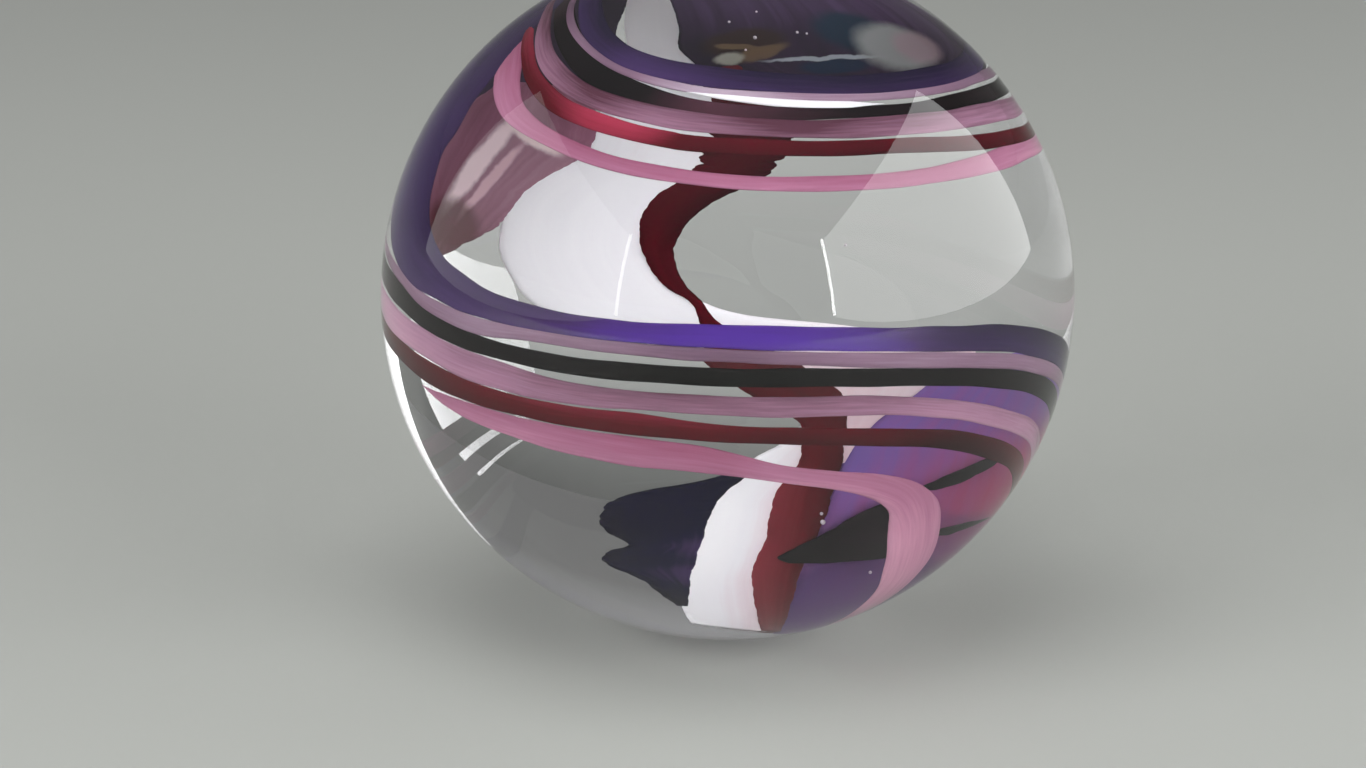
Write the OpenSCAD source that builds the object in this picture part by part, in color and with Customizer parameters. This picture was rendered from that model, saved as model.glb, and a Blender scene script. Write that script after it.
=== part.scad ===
// Glass marble: one solid ball, +Z up, with its origin at the ball's centre.
// The coloured threads and the twisted ribbon were melted into the same glass in the fire,
// so there is no joint, seam or gap anywhere between them and the clear glass around them.
// The ball has no flat and no foot. It sits in a stand, or in any round seat, on the underside
// of its own surface.

/* [Ball] */
// Diameter of the ball
ball_d = 38; // [16:0.5:60]

/* [Finish] */
// Red, green, blue and opacity of the clear glass
glass_colour = [0.76, 0.76, 0.80, 0.80];

/* [Hidden] */
// Steps round the ball in the preview
ball_steps = 180;

// The whole ball, centred on the origin
module marble() {
    color(glass_colour)
        sphere(d = ball_d, $fn = ball_steps);
}

marble();
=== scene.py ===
import math

import bpy
import numpy as np
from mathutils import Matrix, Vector


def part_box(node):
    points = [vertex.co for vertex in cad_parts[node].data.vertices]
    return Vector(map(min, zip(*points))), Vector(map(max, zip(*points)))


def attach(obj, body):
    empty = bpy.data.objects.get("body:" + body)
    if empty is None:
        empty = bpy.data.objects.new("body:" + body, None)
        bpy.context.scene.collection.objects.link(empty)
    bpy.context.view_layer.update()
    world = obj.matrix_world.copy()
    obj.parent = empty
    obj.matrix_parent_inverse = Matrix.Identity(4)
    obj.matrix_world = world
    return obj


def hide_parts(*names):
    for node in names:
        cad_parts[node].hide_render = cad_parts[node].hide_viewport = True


bl_info = {
    "name": "Glass Marble",
    "version": (1, 0, 0),
    "blender": (4, 5, 0),
    "location": "3D View > Sidebar > Marble",
    "description": "A clear glass marble with lines wound under its surface and a twisted ribbon inside",
    "category": "Add Mesh",
}

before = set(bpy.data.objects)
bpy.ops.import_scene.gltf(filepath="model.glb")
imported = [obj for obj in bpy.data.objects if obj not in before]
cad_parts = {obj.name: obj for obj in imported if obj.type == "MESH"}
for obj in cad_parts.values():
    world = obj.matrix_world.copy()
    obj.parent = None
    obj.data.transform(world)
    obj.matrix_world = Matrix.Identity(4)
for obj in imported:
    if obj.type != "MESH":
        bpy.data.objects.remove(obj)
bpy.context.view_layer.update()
LOW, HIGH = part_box("marble")
MM = 0.001
RADIUS = min((HIGH - LOW)[axis] for axis in range(3)) / 2 / MM  # of the ball, in mm

# Every line on the ball is a path of (turn, tilt, width, tone): degrees round the ball from the
# front towards +X, degrees down from the top, the width in mm, and from 0 to 1 where its colour
# stands between its three tones. One full turn is 360, so the lines wind from near the top,
# across the front, round the back, across the front again and down.
# In a few places a line's tone is raised as a painted highlight; each is noted where it stands.
VIOLET_LINE = [
    (-165, 7, 0.3, 0.2), (-128, 13, 0.8, 0.2), (-90, 20, 1.2, 0.2), (-61, 26, 1.35, 0.15),
    # The tone 0.35 at turn -22 is a painted highlight on the violet line.
    (-38, 33.5, 1.4, 0.1), (-22, 37.4, 1.35, 0.35), (8, 40.2, 1.3, 0.1), (37, 42.4, 1.3, 0.05),
    (79, 44.4, 1.4, 0.15), (120, 43, 1.5, 0.4), (165, 38, 1.9, 0.6), (210, 31, 2.4, 0.5),
    (244, 27, 3.4, 0.4), (266, 31, 5.4, 0.25), (275, 41, 7.4, 0.3), (278, 53, 8.4, 0.4),
    (282, 63, 8.0, 0.4), (288, 70, 6.2, 0.35), (296, 75.6, 3.9, 0.3), (304, 78.3, 2.5, 0.35),
    (312, 79.7, 1.95, 0.4), (320, 80.5, 1.5, 0.4), (333, 81.1, 1.15, 0.5), (343, 81.2, 1.1, 0.8),
    (359, 81.6, 1.2, 1.0), (373, 82.2, 1.25, 0.95), (386, 83.4, 1.25, 0.7), (397, 84.7, 1.3, 0.25),
    (414, 88.3, 1.5, 0.15), (433, 95.8, 1.5, 0.1), (447, 105, 1.4, 0.2), (457, 117, 1.3, 0.3),
    (463, 131, 1.0, 0.4), (466, 148, 0.5, 0.4), (467, 158, 0.2, 0.4),
]
MAUVE_LINE = [
    (-120, 15, 0.2, 0.0), (-95, 21, 0.3, 0.0), (-71, 27.4, 0.45, 0.1), (-48, 33.7, 0.5, 0.4),
    (-28, 38.9, 0.5, 0.35), (-9, 41.6, 0.5, 0.9), (3, 42.5, 0.45, 0.9), (16, 43.2, 0.5, 0.6),
    (41, 45, 0.55, 0.6), (60, 46.1, 0.6, 0.4), (78, 47.3, 0.6, 0.4), (130, 53.5, 0.55, 0.4),
    (180, 61.5, 0.6, 0.4), (230, 71, 0.6, 0.4), (262, 77.3, 0.6, 0.4), (280, 79.8, 0.6, 0.4),
    (293, 81.4, 0.65, 0.5), (301, 82.9, 0.75, 0.5), (308, 83.5, 0.9, 0.55), (318, 84.2, 0.9, 0.6),
    (328, 83.7, 0.7, 0.5), (340, 83.9, 0.65, 0.45), (353, 84.1, 0.7, 0.25), (363, 84.5, 0.65, 0.25),
    (384, 86.5, 0.8, 0.5), (407, 90.1, 0.85, 0.5), (420, 94, 0.85, 0.5), (433, 99.6, 0.8, 0.4),
    (445, 108, 0.7, 0.4), (454, 120, 0.6, 0.4), (460, 134, 0.5, 0.4), (463, 150, 0.3, 0.4),
    (464, 160, 0.15, 0.4),
]
BLACK_LINE = [
    (-118, 16.5, 0.4, 0.3), (-95, 22.5, 0.8, 0.3), (-75, 27.7, 1.2, 0.6), (-60, 31.6, 1.35, 0.5),
    (-42, 37.5, 1.5, 0.4), (-28, 41.6, 1.45, 0.25), (-16, 43.8, 1.15, 0.6), (-4, 45.1, 0.9, 1.0),
    (12, 46.1, 0.8, 0.7), (29, 47.0, 0.75, 0.5), (44, 48.1, 0.8, 0.5), (77, 50.1, 1.0, 0.5),
    (130, 57, 0.9, 0.4), (180, 65, 0.9, 0.3), (230, 75, 1.0, 0.3), (258, 80.2, 1.1, 0.4),
    (278, 82.9, 1.3, 0.6), (293, 84.3, 1.4, 0.5), (302, 85.7, 1.22, 0.4), (312, 86.7, 1.05, 0.35),
    (322, 87.2, 0.95, 0.3), (334, 87.4, 0.93, 0.25), (347, 87.6, 0.97, 0.1), (363, 88.0, 0.97, 0.05),
    (376, 88.5, 0.97, 0.1), (392, 90, 1.0, 0.25), (407, 93, 1.05, 0.3), (421, 97.7, 1.15, 0.4),
    (433, 104, 1.15, 0.5), (443, 113, 1.0, 0.5), (450, 125, 0.9, 0.4), (455, 139, 0.7, 0.3),
    (457, 153, 0.4, 0.3), (458, 161, 0.2, 0.3),
]
LAVENDER_LINE = [
    (-120, 20.5, 0.4, 0.0), (-100, 26, 0.7, 0.0), (-85, 29.7, 0.8, 0.0), (-70, 33, 0.85, 0.1),
    (-50, 39.8, 1.1, 0.25), (-32, 44.6, 1.15, 0.05), (-16, 46.8, 1.15, 0.25), (-4, 47.9, 1.1, 0.2),
    (12, 48.9, 1.05, 0.0), (32, 49.9, 1.15, 0.15), (50, 51.2, 1.2, 0.3), (69, 52.9, 1.2, 0.35),
    (120, 59.5, 1.0, 0.4), (170, 67.5, 1.0, 0.4), (220, 77.5, 1.1, 0.5), (255, 84.6, 1.3, 0.8),
    (278, 87.9, 1.6, 1.0), (293, 89.1, 1.65, 0.9), (302, 89.8, 1.52, 0.65), (312, 90.8, 1.57, 0.5),
    (322, 91.2, 1.58, 0.45), (330, 91.8, 1.35, 0.35), (340, 91.9, 1.1, 0.3), (347, 91.9, 1.0, 0.25),
    (364, 92.6, 1.1, 0.25), (384, 93.7, 1.05, 0.35), (397, 96.1, 1.05, 0.5), (409, 100.1, 1.05, 0.5),
    (421, 105.3, 1.1, 0.5), (431, 112, 1.0, 0.4), (439, 121, 0.9, 0.3), (445, 133, 0.7, 0.3),
    (448, 147, 0.45, 0.3), (449, 158, 0.2, 0.3),
]
OXBLOOD_LINE = [
    (-138, 22.5, 0.3, 0.5), (-117, 28, 0.6, 0.5), (-98, 32.2, 0.7, 0.55), (-74, 35.6, 0.8, 0.65),
    # The tones 0.85 at turns -31 and -20 are a painted highlight: the pinkish-red gleam of light on the
    # front stretch of the oxblood line.
    (-62, 39.2, 0.85, 0.6), (-52, 43.1, 0.95, 0.5), (-40, 46.7, 1.05, 0.55), (-31, 48.4, 1.05, 0.85),
    (-20, 49.9, 1.0, 0.85), (-12, 50.7, 0.95, 0.55),
    (-7, 51.2, 0.9, 0.35), (15, 52.5, 0.9, 0.35), (36, 53.8, 0.85, 0.3), (54, 55.7, 0.9, 0.35),
    (74, 58.2, 0.9, 0.35), (125, 65, 0.8, 0.5), (175, 73, 0.85, 0.5), (225, 82.4, 1.0, 0.5),
    (258, 89.1, 1.1, 0.4), (280, 92.3, 1.2, 0.3), (293, 93.4, 1.25, 0.3), (301, 94.2, 1.35, 0.3),
    (312, 94.9, 1.25, 0.4), (320, 95.4, 1.17, 0.45), (333, 95.8, 1.15, 0.5), (347, 96.1, 1.2, 0.5),
    (359, 96.8, 1.0, 0.45), (371, 97.6, 0.95, 0.3), (384, 99, 1.0, 0.3), (398, 101.8, 1.1, 0.05),
    (410, 106, 1.15, 0.1), (421, 111.5, 1.15, 0.3), (430, 119, 1.1, 0.5), (436, 129, 0.9, 0.6),
    (440, 142, 0.6, 0.5), (441, 156, 0.25, 0.5),
]
ROSE_LINE = [
    (-132, 26, 0.3, 0.2), (-112, 31, 0.7, 0.2), (-93, 34.0, 1.1, 0.05), (-77, 37.8, 1.6, 0.15),
    (-65, 42.4, 1.9, 0.25), (-56, 47.2, 1.7, 0.4), (-48, 50.4, 1.2, 0.4), (-34, 53.3, 0.9, 0.25),
    (-16, 56.1, 0.8, 0.25), (10, 58.2, 0.8, 0.3), (39, 59.1, 0.9, 0.3), (67, 60.1, 1.2, 0.5),
    (90, 62.5, 1.1, 0.6), (120, 67, 0.8, 0.5), (150, 72, 0.5, 0.5), (172, 76, 0.2, 0.5),
]
HOOKED_ROSE_LINE = [
    (301, 97.4, 0.2, 0.4), (307, 98.2, 0.6, 0.4), (313, 98.7, 1.0, 0.45), (322, 99.1, 1.25, 0.45),
    (333, 99.9, 1.5, 0.4), (346, 100.6, 1.7, 0.3), (354, 101.2, 1.65, 0.25), (361, 102.4, 1.35, 0.3),
    (369, 104.2, 1.0, 0.5), (377, 105.8, 1.1, 0.5), (385, 107.9, 1.5, 0.5), (391, 110.9, 2.2, 0.5),
    (394.5, 115, 3.0, 0.6), (397, 120, 3.3, 0.7), (399.5, 126, 3.3, 0.75), (402, 133, 3.0, 0.8),
    (403, 141, 2.4, 0.7), (402, 150, 1.4, 0.5), (400, 158, 0.5, 0.5),
]
MILK_THREAD = [
    (-34, 36.9, 0.1, 0.5), (-22, 39.6, 0.22, 0.5), (-8, 42.0, 0.3, 0.6), (7, 43.7, 0.45, 0.7),
    (25, 45.4, 0.48, 0.6), (36, 46.3, 0.12, 0.5),
]

# Every stripe of the ribbon is a path of (height, left, right, left tone, right tone): mm up from
# the ball's centre, its two edges in mm across the ribbon from the ball's upright axis, and the
# tones of its colour at those edges.
WHITE_STRIPE = [
    (14.6, -4.4, -3.0, 1.0, 0.9), (13.4, -4.9, -2.4, 1.0, 0.9), (12.0, -4.9, -2.2, 1.0, 0.9),
    (10.3, -4.7, -1.7, 0.9, 0.8), (8.9, -4.3, -1.0, 0.6, 0.6), (7.6, -4.6, 0.4, 0.5, 0.5),
    (6.4, -5.1, 1.0, 0.5, 0.5), (5.4, -5.3, 0.6, 0.5, 0.5), (4.7, -5.9, 0.1, 0.5, 0.5),
    (4.1, -7.1, -0.9, 0.6, 0.5), (3.4, -8.0, -2.0, 0.6, 0.5), (2.6, -8.4, -2.6, 0.6, 0.5),
    (1.5, -8.5, -2.6, 0.6, 0.5), (0.5, -8.0, -2.0, 0.6, 0.5), (-0.2, -7.4, -1.1, 0.6, 0.5),
    (-0.8, -6.4, 0.7, 0.5, 0.5), (-1.25, -5.2, 4.4, 0.4, 0.4), (-1.8, -3.0, 7.3, 0.3, 0.3),
    (-2.4, -0.8, 9.0, 0.2, 0.2), (-3.1, 0.8, 7.7, 0.1, 0.2), (-3.9, 1.8, 6.9, 0.1, 0.2),
    (-4.8, 3.0, 5.6, 0.1, 0.1), (-5.6, 3.6, 4.8, 0.1, 0.1), (-6.4, 3.8, 4.3, 0.1, 0.1),
]
OXBLOOD_STRIPE = [
    (9.4, -0.2, 0.3, 0.3, 0.3), (8.5, -0.8, 1.4, 0.3, 0.3), (7.4, -0.6, 2.6, 0.3, 0.2),
    (6.1, -0.6, 2.4, 0.3, 0.2), (5.4, -0.95, 1.9, 0.3, 0.2), (4.6, -1.5, 1.2, 0.4, 0.1),
    (3.7, -2.7, -0.3, 0.4, 0.1), (2.8, -3.25, -1.4, 0.4, 0.1), (1.6, -3.15, -2.0, 0.4, 0.2),
    (0.4, -2.4, -1.6, 0.4, 0.2), (-0.25, -1.4, -0.95, 0.4, 0.3), (-0.9, -1.1, -0.4, 0.4, 0.3),
    (-1.7, -0.9, 0.8, 0.4, 0.3), (-2.4, -0.9, 2.4, 0.4, 0.3), (-3.1, -0.1, 3.3, 0.4, 0.3),
    (-3.9, 1.05, 4.35, 0.4, 0.3), (-4.8, 2.6, 4.4, 0.5, 0.3), (-5.5, 2.7, 4.3, 0.5, 0.3),
    (-6.4, 2.6, 4.2, 0.6, 0.2), (-7.2, 1.9, 3.95, 0.8, 0.2), (-8.2, 1.6, 3.7, 0.8, 0.3),
    (-9.1, 1.45, 3.3, 0.8, 0.4), (-10.0, 1.0, 2.9, 0.9, 0.4), (-11.2, 1.1, 2.6, 0.8, 0.4),
    (-12.6, 1.5, 2.3, 0.7, 0.4),
]
LOW_WHITE_STRIPE = [
    (-5.0, 2.7, 3.0, 0.5, 0.3), (-5.5, 2.3, 3.2, 0.5, 0.3), (-6.3, 0.7, 3.0, 0.6, 0.3),
    (-7.2, -0.35, 2.4, 0.8, 0.25), (-7.7, -0.85, 2.1, 0.9, 0.25), (-8.7, -1.25, 2.0, 0.9, 0.25),
    (-9.6, -1.55, 1.7, 0.9, 0.25), (-10.5, -1.9, 1.4, 0.8, 0.2), (-11.3, -2.1, 1.7, 0.7, 0.2),
    (-12.6, -1.6, 1.8, 0.7, 0.2),
]
NAVY_STRIPE = [
    (-6.6, 0.3, 0.9, 0.3, 0.3), (-6.9, -1.2, 0.5, 0.3, 0.3), (-7.15, -3.2, 0.1, 0.3, 0.4),
    (-7.6, -4.7, -0.3, 0.3, 0.4), (-8.2, -5.2, -0.7, 0.1, 0.5), (-8.8, -4.9, -0.9, 0.1, 0.6),
    (-9.2, -4.0, -1.1, 0.3, 0.8), (-9.5, -4.9, -1.2, 0.2, 0.7), (-9.85, -5.5, -1.3, 0.1, 0.6),
    (-10.2, -5.1, -1.5, 0.3, 0.8), (-10.6, -3.9, -1.6, 0.4, 0.7), (-11.1, -3.0, -1.7, 0.2, 0.4),
    (-11.7, -2.2, -1.8, 0.1, 0.1),
]
PURPLE_STRIPE = [
    (-2.5, 11.0, 12.6, 0.0, 0.0), (-2.75, 9.3, 13.2, 0.0, 0.05), (-3.3, 7.4, 13.6, 0.05, 0.1),
    (-4.0, 6.6, 13.8, 0.1, 0.1), (-4.9, 5.4, 13.8, 0.1, 0.2), (-5.7, 4.5, 13.7, 0.0, 0.6),
    (-6.6, 4.2, 13.5, 0.0, 1.0), (-7.6, 3.9, 13.2, 0.1, 1.15), (-8.7, 3.5, 12.6, 0.15, 1.0),
    (-9.6, 3.0, 11.8, 0.2, 0.8), (-10.4, 2.6, 10.6, 0.15, 0.6), (-11.2, 2.3, 8.8, 0.1, 0.5),
    (-12.0, 2.2, 6.4, 0.1, 0.4), (-12.7, 2.2, 4.2, 0.1, 0.3),
]
BLACK_WISP = [
    (-7.7, 5.9, 6.3, 0.3, 0.3), (-7.95, 5.3, 6.2, 0.3, 0.3), (-8.3, 4.5, 6.1, 0.3, 0.3),
    (-8.9, 3.4, 6.0, 0.2, 0.6), (-9.3, 2.5, 6.0, 0.1, 0.4), (-9.65, 1.8, 5.9, 0.1, 0.2),
    (-9.85, 2.3, 3.6, 0.1, 0.1),
]
HIGH_WISP = [
    (-6.35, 9.4, 9.9, 0.4, 0.4), (-6.7, 8.5, 9.4, 0.3, 0.3), (-7.0, 7.7, 8.8, 0.2, 0.2),
    (-7.25, 7.1, 8.2, 0.2, 0.2), (-7.45, 6.6, 7.4, 0.3, 0.3),
]
LOW_WISP = [(-8.55, 8.6, 9.4, 0.5, 0.5), (-8.75, 7.6, 8.6, 0.2, 0.3), (-8.95, 7.3, 7.9, 0.2, 0.2)]
INDIGO_VEIL = [
    (14.0, -6.2, -3.8, 0.4, 0.4), (12.4, -7.6, -4.4, 0.5, 0.4), (10.6, -9.6, -4.9, 0.5, 0.3),
    (8.8, -11.0, -5.0, 0.6, 0.3), (7.6, -11.8, -5.2, 0.6, 0.2), (6.6, -12.2, -6.6, 0.4, 0.1),
    (5.9, -12.4, -8.6, 0.1, 0.1), (5.4, -12.4, -9.4, 0.1, 0.1), (5.0, -12.3, -10.0, 0.1, 0.1),
]
ROSE_VEIL = [
    (7.4, -9.8, -6.2, 0.5, 0.4), (6.4, -11.6, -5.2, 0.5, 0.4), (5.4, -12.4, -5.0, 0.5, 0.5),
    (4.6, -12.6, -5.8, 0.45, 0.55), (3.8, -12.6, -6.9, 0.35, 0.6), (3.0, -12.5, -7.8, 0.2, 0.55),
    (2.3, -12.3, -8.7, 0.05, 0.4), (1.7, -12.0, -9.9, 0.0, 0.2), (1.3, -11.6, -10.9, 0.1, 0.1),
]
NIGHT_CROWN = [
    (15.2, -3.2, 3.0, 0.9, 0.9), (14.4, -3.0, 7.0, 0.9, 0.9), (13.4, -2.6, 9.6, 0.7, 0.9),
    (12.4, -2.3, 10.8, 0.6, 0.9), (11.4, -2.1, 11.6, 0.4, 0.9), (10.6, -2.1, 12.0, 0.2, 0.8),
    (10.0, -1.7, 12.0, 0.2, 0.8), (9.4, -1.1, 11.6, 0.3, 0.6), (8.7, 0.2, 11.0, 0.4, 0.5),
    (8.1, 2.0, 9.8, 0.3, 0.4), (7.8, 3.6, 8.0, 0.3, 0.3),
]

# Seed bubbles, the small gas bubbles left in the glass: (height, across, sheet turn, radius) in mm
# and degrees, on a sheet through the upright axis.
SEED_BUBBLES = [
    (12.6, 1.0, 15, 0.05), (12.14, -0.2, 15, 0.06), (11.1, 0.9, 15, 0.08), (11.2, 2.7, 15, 0.06),
    (11.1, 3.1, 15, 0.05), (10.5, 0.5, 15, 0.05), (10.3, -5.9, -31, 0.07), (-8.4, 3.3, 25, 0.09),
    (-8.1, 3.25, 25, 0.06), (-4.6, -7.4, 0, 0.06), (2.3, 4.6, -5, 0.05), (-2.9, 6.2, 10, 0.05),
    (5.6, 6.0, -20, 0.06), (-10.2, 5.1, 30, 0.06), (1.0, -11.0, -8, 0.06), (8.2, 7.2, 10, 0.05),
]

# Patches of colour in the stripes, some of them painted reflections: where each is (height,
# across), its half sizes, a turn in degrees, an sRGB colour and how solid it is.
CROWN_PATCHES = (
    ((10.5, 0.6), (0.9, 2.2), 0, "2A1C16", 0.9),
    ((9.9, 1.3), (0.4, 1.4), -14, "66523A", 0.7),
    ((10.3, 0.3), (0.2, 1.1), 8, "6E5A40", 0.6),
    ((9.75, 0.0), (0.35, 0.75), 0, "8A8A80", 0.9),
    ((10.7, 5.2), (1.3, 2.3), 24, "10283A", 0.95),
    ((9.0, 4.3), (0.5, 1.8), 0, "10243A", 0.9),
    ((9.42, 3.9), (0.13, 3.0), 2, "A0A8AE", 0.8),
    ((9.9, 6.9), (1.5, 2.2), 20, "8E9090", 0.95),
    ((9.9, 7.9), (1.1, 1.4), 20, "9C868E", 0.8),
)
PURPLE_PATCHES = (
    ((-11.2, 4.6), (2.4, 5.0), -20, "4C3060", 0.9),
    ((-9.0, 8.6), (0.9, 2.4), 10, "6E3A6C", 0.6),
)
# On the rose veil the three pale ovals are painted reflections, the streaks of a light mirrored across it;
# the dark red oval is the veil's own colour.
VEIL_PATCHES_AND_PAINTED_REFLECTIONS = (
    ((4.5, -9.5), (2.6, 0.45), 39, "E4CCD0", 0.95),
    ((5.5, -7.5), (1.6, 0.4), -61, "E6D2D2", 0.9),
    ((3.9, -9.0), (2.2, 0.25), 42, "CFA8B2", 0.9),
    ((2.4, -10.4), (1.1, 1.4), 20, "4A161E", 0.8),
)


def linear(hex_colour):
    """An sRGB hex colour, such as "8C4A63", as linear red, green, blue and full alpha."""
    part = np.array([int(hex_colour[i : i + 2], 16) for i in (0, 2, 4)]) / 255
    low, high = part / 12.92, ((part + 0.055) / 1.055) ** 2.4
    return (*np.where(part <= 0.04045, low, high).tolist(), 1.0)


def smooth_path(stations, count):
    """Rows of numbers joined by one smooth curve, as count rows.
    A Catmull-Rom curve: each stretch is a cubic through its two stations, and its slope at a
    station is half the step between that station's two neighbours."""
    rows = np.array(stations, float)
    rows = np.vstack([2 * rows[0] - rows[1], rows, 2 * rows[-1] - rows[-2]])
    place = np.linspace(0, len(stations) - 1, count)
    start = np.minimum(place.astype(int), len(stations) - 2)
    part = (place - start)[:, None]
    a, b, c, d = (rows[start + step] for step in range(4))
    bend = 2 * a - 5 * b + 4 * c - d
    return (2 * b + (c - a) * part + bend * part**2 + (3 * b - a - 3 * c + d) * part**3) / 2


def even_steps(path, points, count):
    """The same path as count rows at even distances along it, and those distances in mm. points
    are the places in mm that the path's rows stand for."""
    step = np.linalg.norm(np.diff(points, axis=0), axis=1)
    along = np.concatenate([[0], np.cumsum(step)])
    places = np.linspace(0, along[-1], count)
    columns = [np.interp(places, along, path[:, i]) for i in range(path.shape[1])]
    return np.stack(columns, axis=1), places


def towards(turn, tilt):
    """The unit directions at these degrees of turn from the front, and of tilt from the top."""
    turn, tilt = np.broadcast_arrays(np.radians(turn), np.radians(tilt))
    off_axis = np.sin(tilt)
    return np.stack([off_axis * np.sin(turn), -off_axis * np.cos(turn), np.cos(tilt)], axis=-1)


def lens_section(points, width_power):
    """The two coordinates, each from -1 to 1, of a closed flat section with rounded edges.
    Cosine and sine of one turn, each raised to a power under 1, so that the oval fills out."""
    depth_power = 0.8
    angle = np.linspace(0, 2 * np.pi, points, endpoint=False)
    wide, deep = np.cos(angle), np.sin(angle)
    return np.sign(wide) * np.abs(wide) ** width_power, np.sign(deep) * np.abs(deep) ** depth_power


def shell_faces(rows, around):
    """The faces of a closed shell of rows rings with around points each, followed by two points
    that close its first and its last ring: four-sided faces between neighbouring rings, and a
    triangle for each side of an end ring. Points are numbered ring by ring."""
    i, j = np.meshgrid(np.arange(rows - 1), np.arange(around), indexing="ij")
    here, below, beside = i * around, (i + 1) * around, (j + 1) % around
    quads = np.stack([here + j, here + beside, below + beside, below + j], -1).reshape(-1, 4)
    j, last, end = np.arange(around), (rows - 1) * around, rows * around
    beside = (j + 1) % around
    first_cap = np.stack([beside, j, np.full(around, end)], -1)
    last_cap = np.stack([last + j, last + beside, np.full(around, end + 1)], -1)
    return quads, np.concatenate([first_cap, last_cap])


def smooth_piece(name, points, faces):
    """A smooth-shaded mesh object, from points in metres and faces as lists of point numbers."""
    mesh = bpy.data.meshes.new(name)
    mesh.from_pydata(points.tolist(), [], faces)
    mesh.polygons.foreach_set("use_smooth", np.ones(len(mesh.polygons), bool))
    mesh.update()
    piece = bpy.data.objects.new(name, mesh)
    bpy.context.scene.collection.objects.link(piece)
    return piece


def lofted(name, rings, ends, paint=None):
    """A closed mesh through rings of points, with a point closing each end.
    rings is rows by around by 3, in mm. Neighbouring rings are joined by four-sided faces, and
    each end ring by triangles to its point. Faces are turned outwards if the volume is negative.
    paint holds, by name, three numbers for every point, which the materials read."""
    points = np.concatenate([rings.reshape(-1, 3), np.array(ends, float)]) * MM
    quads, caps = shell_faces(*rings.shape[:2])
    volume = sum(
        (points[f[:, 0]] * np.cross(points[f[:, 1]], points[f[:, 2]])).sum()
        for f in (quads[:, [0, 1, 2]], quads[:, [0, 2, 3]], caps)
    )
    if volume < 0:
        quads, caps = quads[:, ::-1], caps[:, ::-1]
    piece = smooth_piece(name, points, quads.tolist() + caps.tolist())
    for layer, values in (paint or {}).items():
        whole = np.concatenate([values.reshape(-1, 3), values[[0, -1]].mean(1)])
        data = piece.data.attributes.new(layer, "FLOAT_VECTOR", "POINT").data
        data.foreach_set("vector", whole.astype(np.float32).ravel())
    return piece


def finish_piece(piece, material):
    """Gives a piece its material and the body that it rides on."""
    piece.data.materials.append(material)
    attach(piece, "root")


def surface_line(name, stations, depth, thick, lean):
    """A line of glass wound just under the ball's surface.
    A flat rounded section is carried along the path on a sphere: at each step the section spreads
    across the path as an angle seen from the ball's centre, so even a wide line keeps to the
    sphere, and its thickness runs inwards. Slow sine waves make the width and the path wander
    as a hand-pulled line does, and both ends run out to a point over their last run_out mm. A
    line narrower than full_body is thinner too. depth is the clear glass over the line. It shifts
    the waves as well, so that neighbouring lines wander differently. lean is how much the tone
    grows from the middle to the lower edge."""
    fine_rows, rows, around, width_power = 4000, 640, 18, 0.7
    wander, run_out, full_body, least_body = 0.1, 2.0, 0.4, 0.05
    path = smooth_path(stations, fine_rows)
    path, along = even_steps(path, towards(path[:, 0], path[:, 1]) * RADIUS, rows)
    turn, tilt, width, tone = path.T
    sway = np.sin(along / 3.1 + depth * 40) + 0.5 * np.sin(along / 1.3 + depth * 90)
    tilt = tilt + wander * sway
    width = width * (1 + 0.025 * np.sin(along / 1.7 + depth * 70) + 0.02 * np.sin(along / 0.7))
    width = width * np.sqrt(np.clip(np.minimum(along, along[-1] - along) / run_out, 0.001, 1))
    out = towards(turn, tilt)
    ahead = np.gradient(out, axis=0)
    ahead /= np.linalg.norm(ahead, axis=1)[:, None]
    side = np.cross(out, ahead)
    wide, deep = lens_section(around, width_power)
    spread = width[:, None] / 2 / RADIUS * wide
    body = np.clip(width / full_body, least_body, 1)[:, None]
    reach = RADIUS - depth - thick / 2 + thick / 2 * deep * body
    rings = np.cos(spread)[..., None] * out[:, None] + np.sin(spread)[..., None] * side[:, None]
    rings = rings * reach[..., None]
    length = np.broadcast_to(along[:, None], spread.shape)
    tones = tone[:, None] - lean * wide
    paint = {"grain": np.stack([length, spread * RADIUS, tones], axis=-1)}
    ends = (rings[0].mean(0), rings[-1].mean(0))
    return lofted(name, rings, ends, paint)


def torn(height, amount, phase):
    """How far a torn edge stands out at each height, in mm: three sharpened sine waves of about
    0.9, 0.37 and 0.17 mm, which is how the colours comb out where the ribbon was twisted."""
    sharpness = 0.6
    waves = sum(
        share * np.abs(np.sin(np.pi * height / pitch + phase * turn)) ** sharpness
        for pitch, share, turn in ((0.93, 0.5, 1.0), (0.37, 0.35, 2.3), (0.17, 0.15, 4.1))
    )
    return amount * (waves - 0.5)


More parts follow.
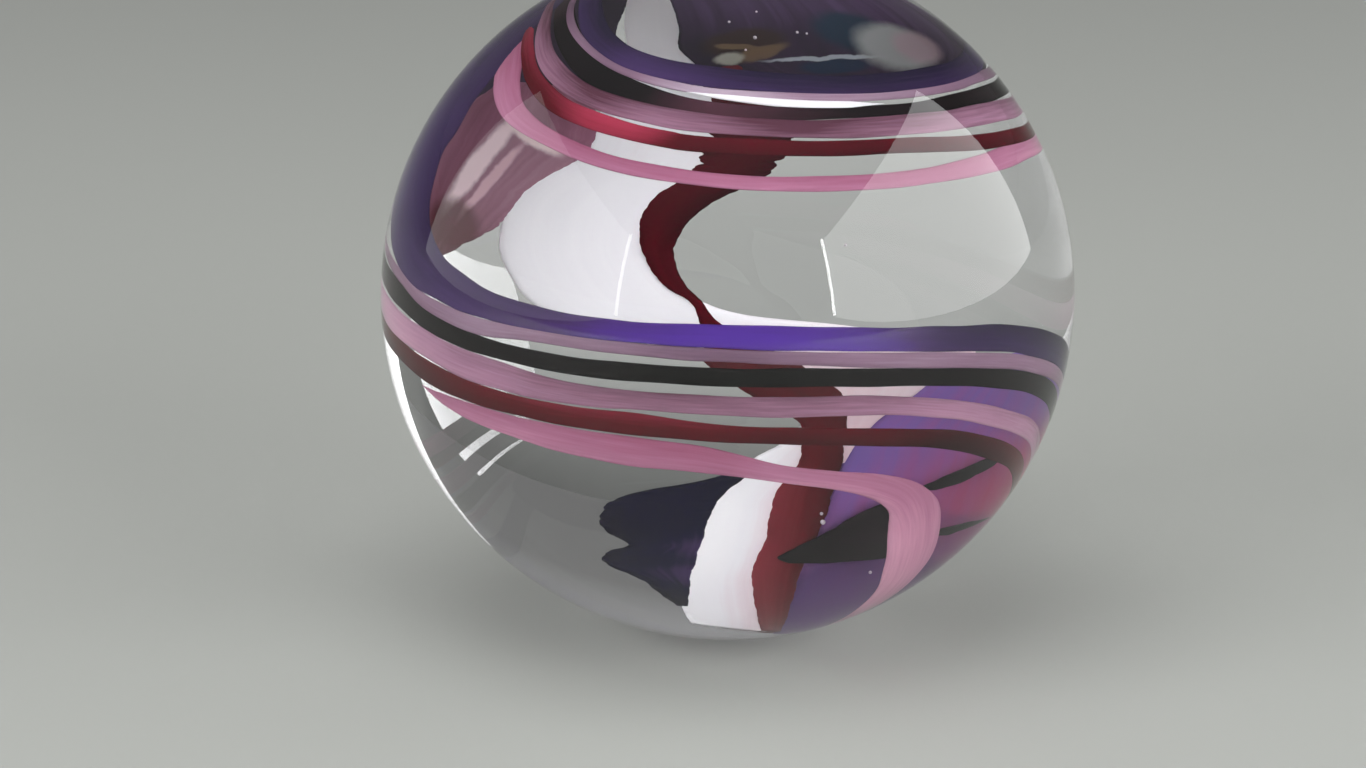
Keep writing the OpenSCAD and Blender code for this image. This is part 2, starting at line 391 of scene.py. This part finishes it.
def ribbon_stripe(name, stations, thick, lift, tear, turn, twist):
    """One stripe of the twisted ribbon, as a closed thin body.
    At each height the ribbon crosses the upright axis, turned by twist degrees for each mm of
    height, from turn degrees at the middle. The stripe runs from its left to its right edge across
    it, its edges torn into fine teeth, and it stands lift mm proud of the ribbon's middle. tear is
    how far the left and the right edge fray, in mm, and how many times as far they fray above the
    height where the ribbon starts to comb out. Where the stripe is narrow it frays less, and gets
    thinner. lift also shifts the teeth, so that stripes at other levels tear elsewhere. It is
    drawn inwards wherever it would come within cover mm of the ball's surface."""
    rows, around, width_power = 620, 26, 0.75
    comb_from, comb_to = 3.6, 5.6
    least_half, full_half, cover = 0.03, 0.6, 0.9
    height, left, right, left_tone, right_tone = smooth_path(stations, rows).T
    torn_left, torn_right, above = tear
    fray = np.clip(right - left, 0, 1) * np.interp(height, (comb_from, comb_to), (1, above))
    left = left - torn(height, torn_left, 1.7 + lift * 9) * fray
    right = right + torn(height, torn_right, 0.6 + lift * 7) * fray
    wide, deep = lens_section(around, width_power)
    middle, half = (left + right) / 2, np.maximum((right - left) / 2, least_half)
    across = middle[:, None] + half[:, None] * wide
    taper = np.sqrt(np.clip(half / full_half, 0.02, 1))
    away = lift + thick / 2 * deep * taper[:, None]
    angle = np.radians(turn + twist * height)[:, None]
    high = np.broadcast_to(height[:, None], across.shape)
    rings = np.stack(
        [
            across * np.cos(angle) - away * np.sin(angle),
            across * np.sin(angle) + away * np.cos(angle),
            high,
        ],
        axis=-1,
    )
    far = np.linalg.norm(rings, axis=-1)
    rings = rings * np.minimum(1, (RADIUS - cover) / far)[..., None]
    share = (wide + 1) / 2
    tones = left_tone[:, None] * (1 - share) + right_tone[:, None] * share
    over = np.broadcast_to(wide * np.median(half), high.shape)
    paint = {
        "grain": np.stack([-high, over, tones], axis=-1),
        "place": np.stack([high, across, away], axis=-1),
    }
    ends = (rings[0].mean(0), rings[-1].mean(0))
    return lofted(name, rings, ends, paint)


def seed_bubbles(name, places):
    """Small round bubbles, as one mesh of separate closed balls.
    Each ball's points are its centre plus its radius times the directions of an even grid of
    turns and tilts. Its centre lies in front of its sheet, which is turned about the upright axis:
    it is (across cos turn + front sin turn, across sin turn - front cos turn, height)."""
    around, rows, front = 16, 9, 0.9
    height, across, turn, size = np.array(places, float).T
    angle = np.radians(turn)
    right = across * np.cos(angle) + front * np.sin(angle)
    back = across * np.sin(angle) - front * np.cos(angle)
    centres = np.stack([right, back, height], -1)
    tilts = np.linspace(0, 180, rows + 2)[1:-1]
    turns, tilts = np.meshgrid(np.arange(around) * 360 / around, tilts)
    ball = np.concatenate([towards(turns, tilts).reshape(-1, 3), [[0, 0, 1], [0, 0, -1]]])
    points = (centres[:, None] + size[:, None, None] * ball) * MM
    quads, caps = shell_faces(rows, around)
    quads, caps = quads[:, [0, 3, 2, 1]], caps[:, [1, 0, 2]]
    step = np.arange(len(places))[:, None, None] * len(ball)
    quads = (quads + step).reshape(-1, 4)
    caps = (caps + step).reshape(-1, 3)
    return smooth_piece(name, points.reshape(-1, 3), quads.tolist() + caps.tolist())


def ball_mesh(name, radius):
    """The whole ball: circles of latitude at even steps of tilt, closed by the two poles.
    A point is the direction at its turn and tilt, times the radius in mm."""
    around, rows = 384, 190
    tilt = np.linspace(0, 180, rows + 2)[1:-1]
    turn = np.linspace(0, 360, around, endpoint=False)
    rings = towards(turn[None], tilt[:, None]) * radius
    return lofted(name, rings, ([0, 0, radius], [0, 0, -radius]))


def add_node(tree, kind, inputs=None, **settings):
    """Adds one node. settings are its own properties. inputs gives its sockets a value, or the
    socket that feeds them."""
    made = tree.nodes.new(kind)
    for name, value in settings.items():
        setattr(made, name, value)
    for key, value in (inputs or {}).items():
        if isinstance(value, bpy.types.NodeSocket):
            tree.links.new(value, made.inputs[key])
        else:
            made.inputs[key].default_value = value
    return made


def new_material(name):
    """An empty node material, its node tree and its output node."""
    material = bpy.data.materials.new(name)
    material.use_nodes = True
    tree = material.node_tree
    tree.nodes.clear()
    return material, tree, add_node(tree, "ShaderNodeOutputMaterial")


def clear_soda_glass(colours):
    """Clear soda-lime glass, fire-polished: a mirror-smooth skin with the slow unevenness of
    glass that was rolled hot, so reflections bend a little, and almost no colour of its own.
    The swells are about 9 mm across and a hundredth of a millimetre high."""
    material, tree, output = new_material("clear_soda_glass")
    swell_mm, swell_high_mm, swell_share = 9, 0.4, 0.02
    place = add_node(tree, "ShaderNodeTexCoord").outputs["Object"]
    swell = add_node(
        tree, "ShaderNodeTexNoise", {"Vector": place, "Scale": 1 / (swell_mm * MM), "Detail": 1.0}
    )
    ripple = add_node(
        tree,
        "ShaderNodeBump",
        {"Height": swell.outputs["Fac"], "Strength": swell_share, "Distance": swell_high_mm * MM},
    )
    glass = add_node(
        tree,
        "ShaderNodeBsdfPrincipled",
        {
            "Base Color": colours.clear,
            "Roughness": 0.0,
            "IOR": 1.5,
            "Transmission Weight": 1.0,
            "Normal": ripple.outputs["Normal"],
        },
    )
    tree.links.new(glass.outputs["BSDF"], output.inputs["Surface"])
    return material


def painted_bubble_reflection():
    """The bright skin of a seed bubble, as a painted reflection: the wall of a gas bubble in glass
    turns back nearly all the light that meets it, so from outside it is a pale silvery speck, which
    is painted here as a pale colour."""
    material, tree, output = new_material("painted_bubble_reflection")
    skin = add_node(
        tree,
        "ShaderNodeBsdfPrincipled",
        {"Base Color": linear("B8ACB6"), "Roughness": 0.4, "Specular IOR Level": 0.5},
    )
    tree.links.new(skin.outputs["BSDF"], output.inputs["Surface"])
    return material


def drawn_glass(name, deep, body, bright, streak_mm, spread, patches=()):
    """Opaque coloured glass that was pulled out hot, inside clear glass: no gloss of its own,
    because the clear glass wets it. Its tone runs from deep through body to bright, and the pull
    leaves fine streaks along it, streak_mm apart and streak_length times as long, that shift the
    tone by up to spread. patches are soft-edged ovals of other glass, or painted reflections, each
    with its place, half sizes, turn, colour and share. Their outline wobbles over a span of
    wobble_mm, and they are endless through the stripe's thickness."""
    streak_length, soft_edge, endless = 24, 0.45, 1000.0
    wobble_mm, wobble_back, wobble_scale = 0.45, -0.22, 0.9
    material, tree, output = new_material(name)
    grain = add_node(tree, "ShaderNodeAttribute", attribute_name="grain").outputs["Vector"]
    scale = (1 / (streak_mm * streak_length), 1 / streak_mm, 0.0)
    stretch = add_node(tree, "ShaderNodeMapping", {"Vector": grain, "Scale": scale})
    streaks = add_node(
        tree,
        "ShaderNodeTexNoise",
        {"Vector": stretch.outputs["Vector"], "Scale": 1.0, "Detail": 4.0, "Roughness": 0.6},
    )
    tone = add_node(tree, "ShaderNodeSeparateXYZ", {"Vector": grain}).outputs["Z"]
    shift = add_node(
        tree,
        "ShaderNodeMath",
        {0: streaks.outputs["Fac"], 1: 2 * spread, 2: -spread},
        operation="MULTIPLY_ADD",
    )
    level = add_node(tree, "ShaderNodeMath", {0: tone, 1: shift.outputs["Value"]}, operation="ADD")
    tones = add_node(tree, "ShaderNodeValToRGB", {"Fac": level.outputs["Value"]})
    ramp = tones.color_ramp
    ramp.elements[0].position, ramp.elements[0].color = 0.0, deep
    ramp.elements[1].position, ramp.elements[1].color = 1.0, bright
    ramp.elements.new(0.5).color = body
    colour = tones.outputs["Color"]
    if patches:
        place = add_node(tree, "ShaderNodeAttribute", attribute_name="place").outputs["Vector"]
        wobble = add_node(
            tree,
            "ShaderNodeTexNoise",
            {"Vector": place, "Scale": wobble_scale, "Detail": 5.0, "Roughness": 0.65},
        )
        offset = add_node(
            tree,
            "ShaderNodeVectorMath",
            {
                0: wobble.outputs["Color"],
                1: (wobble_mm, wobble_mm, 0.0),
                2: (wobble_back, wobble_back, 0.0),
            },
            operation="MULTIPLY_ADD",
        )
        place = add_node(
            tree, "ShaderNodeVectorMath", {0: place, 1: offset.outputs["Vector"]}, operation="ADD"
        )
        place = place.outputs["Vector"]
    for middle, sizes, turn, tint, share in patches:
        oval = add_node(
            tree,
            "ShaderNodeMapping",
            {
                "Vector": place,
                "Location": (*middle, 0.0),
                "Rotation": (0.0, 0.0, math.radians(turn)),
                "Scale": (*sizes, endless),
            },
            vector_type="TEXTURE",
        )
        inside = add_node(
            tree,
            "ShaderNodeTexGradient",
            {"Vector": oval.outputs["Vector"]},
            gradient_type="SPHERICAL",
        )
        mask = add_node(
            tree,
            "ShaderNodeMapRange",
            {"Value": inside.outputs["Fac"], "From Min": 0.0, "From Max": soft_edge, "To Max": share},
            interpolation_type="SMOOTHSTEP",
        )
        mixed = add_node(
            tree,
            "ShaderNodeMix",
            {0: mask.outputs["Result"], 6: colour, 7: linear(tint)},
            data_type="RGBA",
        )
        colour = mixed.outputs[2]
    glass = add_node(
        tree,
        "ShaderNodeBsdfPrincipled",
        {"Base Color": colour, "Roughness": 0.55, "Specular IOR Level": 0.0},
    )
    tree.links.new(glass.outputs["BSDF"], output.inputs["Surface"])
    return material


def colour_property(label, words, hex_colour):
    """A colour that a user can change, with an sRGB hex value as its default."""
    return bpy.props.FloatVectorProperty(
        name=label,
        description=words,
        subtype="COLOR",
        size=4,
        min=0,
        max=1,
        default=linear(hex_colour),
    )


class MarbleColours(bpy.types.PropertyGroup):
    """The colours of the glass."""

    clear: colour_property("Clear Glass", "Tint of the clear glass", "FBFBFD")
    violet: colour_property("Violet", "Violet line", "483262")
    mauve: colour_property("Mauve", "Thin mauve line", "8F7186")
    black: colour_property("Black", "Black line", "120A0D")
    lavender: colour_property("Lavender", "Lavender line", "AA8098")
    oxblood: colour_property("Oxblood", "Dark red line and stripe", "580A18")
    rose: colour_property("Rose", "Pink line", "B67C98")
    milk: colour_property("Milk White", "White stripe and thread", "F2F1F5")
    navy: colour_property("Navy", "Near-black blue stripe", "0C0828")
    purple: colour_property("Purple", "Purple stripe", "9C4E80")


class MarbleSizes(bpy.types.PropertyGroup):
    """Sizes inside the ball, in mm."""

    line_depth: bpy.props.FloatProperty(
        name="Line Depth",
        description="Clear glass over the lines, in mm",
        default=0.10,
        min=0.05,
        max=1.0,
    )
    line_thickness: bpy.props.FloatProperty(
        name="Line Thickness",
        description="Thickness of the lines, in mm",
        default=0.22,
        min=0.05,
        max=1.0,
    )
    ribbon_thickness: bpy.props.FloatProperty(
        name="Ribbon Thickness",
        description="Thickness of the ribbon's stripes, in mm",
        default=0.4,
        min=0.1,
        max=2.0,
    )
    twist: bpy.props.FloatProperty(
        name="Twist",
        description="Turn of the ribbon for each mm of height, in degrees",
        default=-3.0,
        min=-12,
        max=12,
    )


class StageSettings(bpy.types.PropertyGroup):
    """The floor, the lights and the camera."""

    lens: bpy.props.FloatProperty(
        name="Lens",
        description="Focal length",
        default=100,
        min=20,
        unit="CAMERA",
    )
    elevation: bpy.props.FloatProperty(
        name="Elevation",
        description="Camera's height above the horizon",
        default=math.radians(15),
        subtype="ANGLE",
    )
    floor: colour_property("Floor", "Pale floor", "8E908C")


class MARBLE_OT_ball(bpy.types.Operator):
    """Makes the clear glass ball"""

    bl_idname = "marble.ball"
    bl_label = "Clear Glass Ball"

    def execute(self, context):
        ball = ball_mesh("clear_glass_ball", RADIUS)
        finish_piece(ball, clear_soda_glass(context.scene.marble_colours))
        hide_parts("marble")
        bubbles = seed_bubbles("seed_bubbles", SEED_BUBBLES)
        # The seed bubbles' pale colour is a painted reflection.
        finish_piece(bubbles, painted_bubble_reflection())
        return {"FINISHED"}


class MARBLE_OT_lines(bpy.types.Operator):
    """Winds the coloured lines under the ball's surface"""

    bl_idname = "marble.lines"
    bl_label = "Surface Lines"

    def execute(self, context):
        colours, sizes = context.scene.marble_colours, context.scene.marble_sizes
        # Each glass: its name, its deep, middle and bright tone, streak spacing in mm and spread.
        glasses = (
            ("violet_glass", "1C122E", colours.violet, "583898", 0.22, 0.15),
            ("mauve_glass", "5E4658", colours.mauve, "BCAABA", 0.18, 0.2),
            ("black_glass", "030202", colours.black, "4A2A36", 0.2, 0.1),
            ("lavender_glass", "5A3444", colours.lavender, "CCA2B8", 0.16, 0.25),
            # The oxblood glass's bright tone, B03A54, is reached mostly in the painted highlight on the
            # oxblood line.
            ("oxblood_glass", "2A0B10", colours.oxblood, "B03A54", 0.2, 0.12),
            ("rose_glass", "96506E", colours.rose, "E8B0C8", 0.25, 0.25),
            ("milk_thread_glass", "D8D4DC", colours.milk, "FFFFFF", 0.2, 0.3),
        )
        violet, mauve, black, lavender, oxblood, rose, milk = (
            drawn_glass(name, linear(deep), body, linear(bright), streak_mm, spread)
            for name, deep, body, bright, streak_mm, spread in glasses
        )
        # Each line: its name, path, glass, slot and lean.
        lines = (
            ("violet_line", VIOLET_LINE, violet, "purple_glass", 0.12),
            ("mauve_line", MAUVE_LINE, mauve, "mauve_glass", 0.0),
            ("black_line", BLACK_LINE, black, "black_glass", 0.0),
            ("lavender_line", LAVENDER_LINE, lavender, "mauve_glass", 0.12),
            # The oxblood line's negative lean makes its upper edge lighter along its whole length: a
            # painted highlight, meant for the gleam on that edge.
            ("oxblood_line", OXBLOOD_LINE, oxblood, "dark_red_glass", -0.12),
            ("rose_line", ROSE_LINE, rose, "pink_glass", 0.1),
            ("hooked_rose_line", HOOKED_ROSE_LINE, rose, "pink_glass", 0.15),
            ("milk_thread", MILK_THREAD, milk, "white_glass", 0.0),
        )
        depth_step, depths = 0.03, 3
        for number, (name, stations, material, slot, lean) in enumerate(lines):
            depth = sizes.line_depth + depth_step * (number % depths)
            line = surface_line(name, stations, depth, sizes.line_thickness, lean)
            finish_piece(line, material)
        return {"FINISHED"}


class MARBLE_OT_ribbon(bpy.types.Operator):
    """Makes the twisted ribbon, stripe by stripe"""

    bl_idname = "marble.ribbon"
    bl_label = "Twisted Ribbon"

    def execute(self, context):
        colours, sizes = context.scene.marble_colours, context.scene.marble_sizes
        # Each glass: its name, its deep, middle and bright tone, streak spacing in mm, spread and
        # patches.
        glasses = (
            ("milk_glass", "E0BCC6", colours.milk, "FFFFFF", 0.5, 0.15, ()),
            ("oxblood_stripe_glass", "240A10", colours.oxblood, "86303C", 0.45, 0.2, ()),
            ("navy_glass", "0A0618", colours.navy, "4A3460", 0.4, 0.3, ()),
            ("purple_stripe_glass", "785CA4", colours.purple, "AC2444", 0.5, 0.25, PURPLE_PATCHES),
            ("black_wisp_glass", "0A0508", linear("1A0E16"), "4A3A3A", 0.5, 0.2, ()),
            ("indigo_veil_glass", "181A24", linear("3A2C40"), "54405E", 0.5, 0.25, ()),
            ("rose_veil_glass", "4E1A22", linear("8C5C70"), "B08A98", 0.5, 0.35, VEIL_PATCHES_AND_PAINTED_REFLECTIONS),
            ("night_crown_glass", "0E0A10", linear("2C1E34"), "4C3858", 0.6, 0.45, CROWN_PATCHES),
        )
        milk, oxblood, navy, purple, smoke, indigo, haze, night = (
            drawn_glass(name, linear(deep), body, linear(bright), streak_mm, spread, patches)
            for name, deep, body, bright, streak_mm, spread, patches in glasses
        )
        thick, twist = sizes.ribbon_thickness, sizes.twist
        # Each stripe: its name, path, glass, slot, thickness, lift and tear.
        stripes = (
            ("white_stripe", WHITE_STRIPE, milk, "white_glass", thick, 0.0, (0.03, 0.04, 1)),
            ("oxblood_stripe", OXBLOOD_STRIPE, oxblood, "dark_red_glass", thick * 1.8, 0.0, (0.1, 0.1, 6)),
            ("low_white_stripe", LOW_WHITE_STRIPE, milk, "white_glass", thick, 0.05, (0.1, 0.08, 1)),
            ("navy_stripe", NAVY_STRIPE, navy, "navy_glass", thick * 1.4, 0.0, (0.3, 0.12, 1)),
            ("purple_stripe", PURPLE_STRIPE, purple, "purple_glass", thick * 0.8, 0.1, (0.1, 0.1, 1)),
            ("black_wisp", BLACK_WISP, smoke, "black_glass", thick * 0.5, -0.45, (0.15, 0.1, 1)),
            ("high_wisp", HIGH_WISP, smoke, "black_glass", thick * 0.4, -0.3, (0.1, 0.1, 1)),
            ("low_wisp", LOW_WISP, smoke, "black_glass", thick * 0.4, -0.3, (0.1, 0.1, 1)),
            ("indigo_veil", INDIGO_VEIL, indigo, "navy_glass", thick * 0.7, 0.0, (0.08, 0.08, 1)),
            ("rose_veil", ROSE_VEIL, haze, "pink_glass", thick * 0.8, 0.0, (0.1, 0.3, 1)),
        )
        for name, stations, material, slot, body, lift, tear in stripes:
            stripe = ribbon_stripe(name, stations, body, lift, tear, 0.0, twist)
            finish_piece(stripe, material)
        # The crown lies on a flat sheet of its own, turned 15 degrees.
        crown_turn = 15.0
        crown = ribbon_stripe("night_crown", NIGHT_CROWN, thick, 0.0, (0.05, 0.05, 1), crown_turn, 0.0)
        finish_piece(crown, night)
        return {"FINISHED"}


class MARBLE_OT_stage(bpy.types.Operator):
    """Sets the pale floor, the soft lights and the camera"""

    bl_idname = "marble.stage"
    bl_label = "Floor, Lights and Camera"

    def execute(self, context):
        settings = context.scene.marble_stage
        add_floor(settings)
        add_lights()
        add_camera(settings)
        return {"FINISHED"}


def add_floor(settings):
    """A wide pale matt floor under the ball, which sweeps up towards its rim.
    A profile turned round the upright axis: flat out to 0.2 m, and from there its height grows
    by the square of the distance, so that the rim stands 9.5 degrees above the ball's centre. One
    flat face fills the middle."""
    around, rows = 96, 48
    hole, flat, rim, rim_angle = 0.02, 0.2, 0.9, 9.5
    reach = np.linspace(hole, rim, rows)
    top = rim * math.tan(math.radians(rim_angle)) + RADIUS * MM
    rise = top * (np.clip(reach - flat, 0, None) / (rim - flat)) ** 2
    turn = np.linspace(0, 2 * np.pi, around, endpoint=False)
    rings = np.stack(
        [
            reach[:, None] * np.cos(turn),
            reach[:, None] * np.sin(turn),
            np.broadcast_to(rise[:, None] - RADIUS * MM, (rows, around)),
        ],
        axis=-1,
    )
    quads = shell_faces(rows, around)[0][:, [0, 3, 2, 1]]
    floor = smooth_piece("floor", rings.reshape(-1, 3), quads.tolist() + [list(range(around))])
    material, tree, output = new_material("matt_floor")
    matt = add_node(tree, "ShaderNodeBsdfPrincipled", {"Base Color": settings.floor, "Roughness": 0.8})
    tree.links.new(matt.outputs["BSDF"], output.inputs["Surface"])
    floor.data.materials.append(material)


def add_light(name, place, facing, size, radiance, mirrored=True):
    """A rectangular soft light at place that faces the given point. Its power is radiance times
    pi times its area. mirrored is off for a light that mirror-like reflections don't show."""
    data = bpy.data.lights.new(name, "AREA")
    data.shape = "RECTANGLE"
    data.size, data.size_y = size
    data.energy = radiance * math.pi * size[0] * size[1]
    light = bpy.data.objects.new(name, data)
    bpy.context.scene.collection.objects.link(light)
    light.location = place
    light.rotation_euler = (Vector(facing) - Vector(place)).to_track_quat("-Z", "Y").to_euler()
    light.visible_camera = False
    light.visible_glossy = mirrored


def add_lights():
    """A dim grey room that is lighter overhead, with a big soft wall of light on each side, a thin
    bright strip at each wall's front edge, a fill on each side of the front and a softbox above.
    Places and sizes are in metres."""
    dim_below, bright_above = (0.5, (0.15, 0.15, 0.147, 1)), (0.95, (0.42, 0.42, 0.43, 1))
    add_light("soft_wall_left", (-0.40, -0.17, 0.19), (0, -0.17, 0.19), (0.76, 0.40), 0.9)
    add_light("soft_wall_right", (0.40, -0.18, 0.19), (0, -0.18, 0.19), (0.80, 0.40), 2.9)
    add_light("edge_strip_left", (-0.40, -0.56, 0.19), (0, 0, 0.10), (0.012, 0.40), 7.0)
    add_light("edge_strip_right", (0.40, -0.59, 0.19), (0, 0, 0.10), (0.012, 0.40), 16.0)
    add_light("fill_left", (-0.29, -0.22, 0.12), (0, 0, 0), (0.28, 0.22), 9.0, mirrored=False)
    add_light("fill_right", (0.26, -0.25, 0.10), (0, 0, 0), (0.26, 0.22), 8.0, mirrored=False)
    add_light("top_softbox", (-0.06, -0.12, 0.42), (0, 0, 0), (0.34, 0.30), 3.0, mirrored=False)
    world = bpy.data.worlds.new("soft_grey_room")
    world.use_nodes = True
    tree = world.node_tree
    tree.nodes.clear()
    up = add_node(tree, "ShaderNodeTexCoord").outputs["Generated"]
    height = add_node(tree, "ShaderNodeSeparateXYZ", {"Vector": up}).outputs["Z"]
    tones = add_node(tree, "ShaderNodeValToRGB", {"Fac": height})
    for element, tone in zip(tones.color_ramp.elements, (dim_below, bright_above)):
        element.position, element.color = tone
    light = add_node(tree, "ShaderNodeBackground", {"Color": tones.outputs["Color"], "Strength": 1.0})
    output = add_node(tree, "ShaderNodeOutputWorld")
    tree.links.new(light.outputs["Background"], output.inputs["Surface"])
    bpy.context.scene.world = world


def add_camera(settings):
    """A long lens at the front. The ball's radius, and how far its centre stands right of and
    above the middle, are shares of the picture's width."""
    radius_share, right_share, up_share = 0.254, 0.0322, 0.0659
    sensor_mm = 36
    data = bpy.data.cameras.new("camera")
    data.lens, data.sensor_width = settings.lens, sensor_mm
    width_at_one = data.sensor_width / data.lens
    distance = RADIUS * MM * math.sqrt(1 + 1 / (radius_share * width_at_one) ** 2)
    back = Vector((0, -math.cos(settings.elevation), math.sin(settings.elevation)))
    upward = Vector((0, math.sin(settings.elevation), math.cos(settings.elevation)))
    aim = (Vector((-1, 0, 0)) * right_share - upward * up_share) * width_at_one * distance
    camera = bpy.data.objects.new("camera", data)
    bpy.context.scene.collection.objects.link(camera)
    camera.location = back * distance
    camera.rotation_euler = (aim - camera.location).to_track_quat("-Z", "Y").to_euler()
    bpy.context.scene.camera = camera
    bpy.context.scene.view_settings.view_transform = "Standard"


class MARBLE_PT_panel(bpy.types.Panel):
    """Lists the marble's parts in the sidebar"""

    bl_label = "Glass Marble"
    bl_idname = "MARBLE_PT_panel"
    bl_space_type = "VIEW_3D"
    bl_region_type = "UI"
    bl_category = "Marble"

    def draw(self, context):
        for operator in OPERATORS:
            self.layout.operator(operator.bl_idname)
        for group in ("marble_sizes", "marble_colours", "marble_stage"):
            settings = getattr(context.scene, group)
            for name in settings.__annotations__:
                self.layout.prop(settings, name)


OPERATORS = (MARBLE_OT_ball, MARBLE_OT_lines, MARBLE_OT_ribbon, MARBLE_OT_stage)
CLASSES = (MarbleColours, MarbleSizes, StageSettings, *OPERATORS, MARBLE_PT_panel)


def register():
    for item in CLASSES:
        bpy.utils.register_class(item)
    bpy.types.Scene.marble_colours = bpy.props.PointerProperty(type=MarbleColours)
    bpy.types.Scene.marble_sizes = bpy.props.PointerProperty(type=MarbleSizes)
    bpy.types.Scene.marble_stage = bpy.props.PointerProperty(type=StageSettings)


def unregister():
    del bpy.types.Scene.marble_stage
    del bpy.types.Scene.marble_sizes
    del bpy.types.Scene.marble_colours
    for item in reversed(CLASSES):
        bpy.utils.unregister_class(item)


def main():
    """Registers the add-on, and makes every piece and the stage."""
    register()
    bpy.ops.marble.ball()
    bpy.ops.marble.lines()
    bpy.ops.marble.ribbon()
    bpy.ops.marble.stage()


if __name__ == "__main__":
    main()
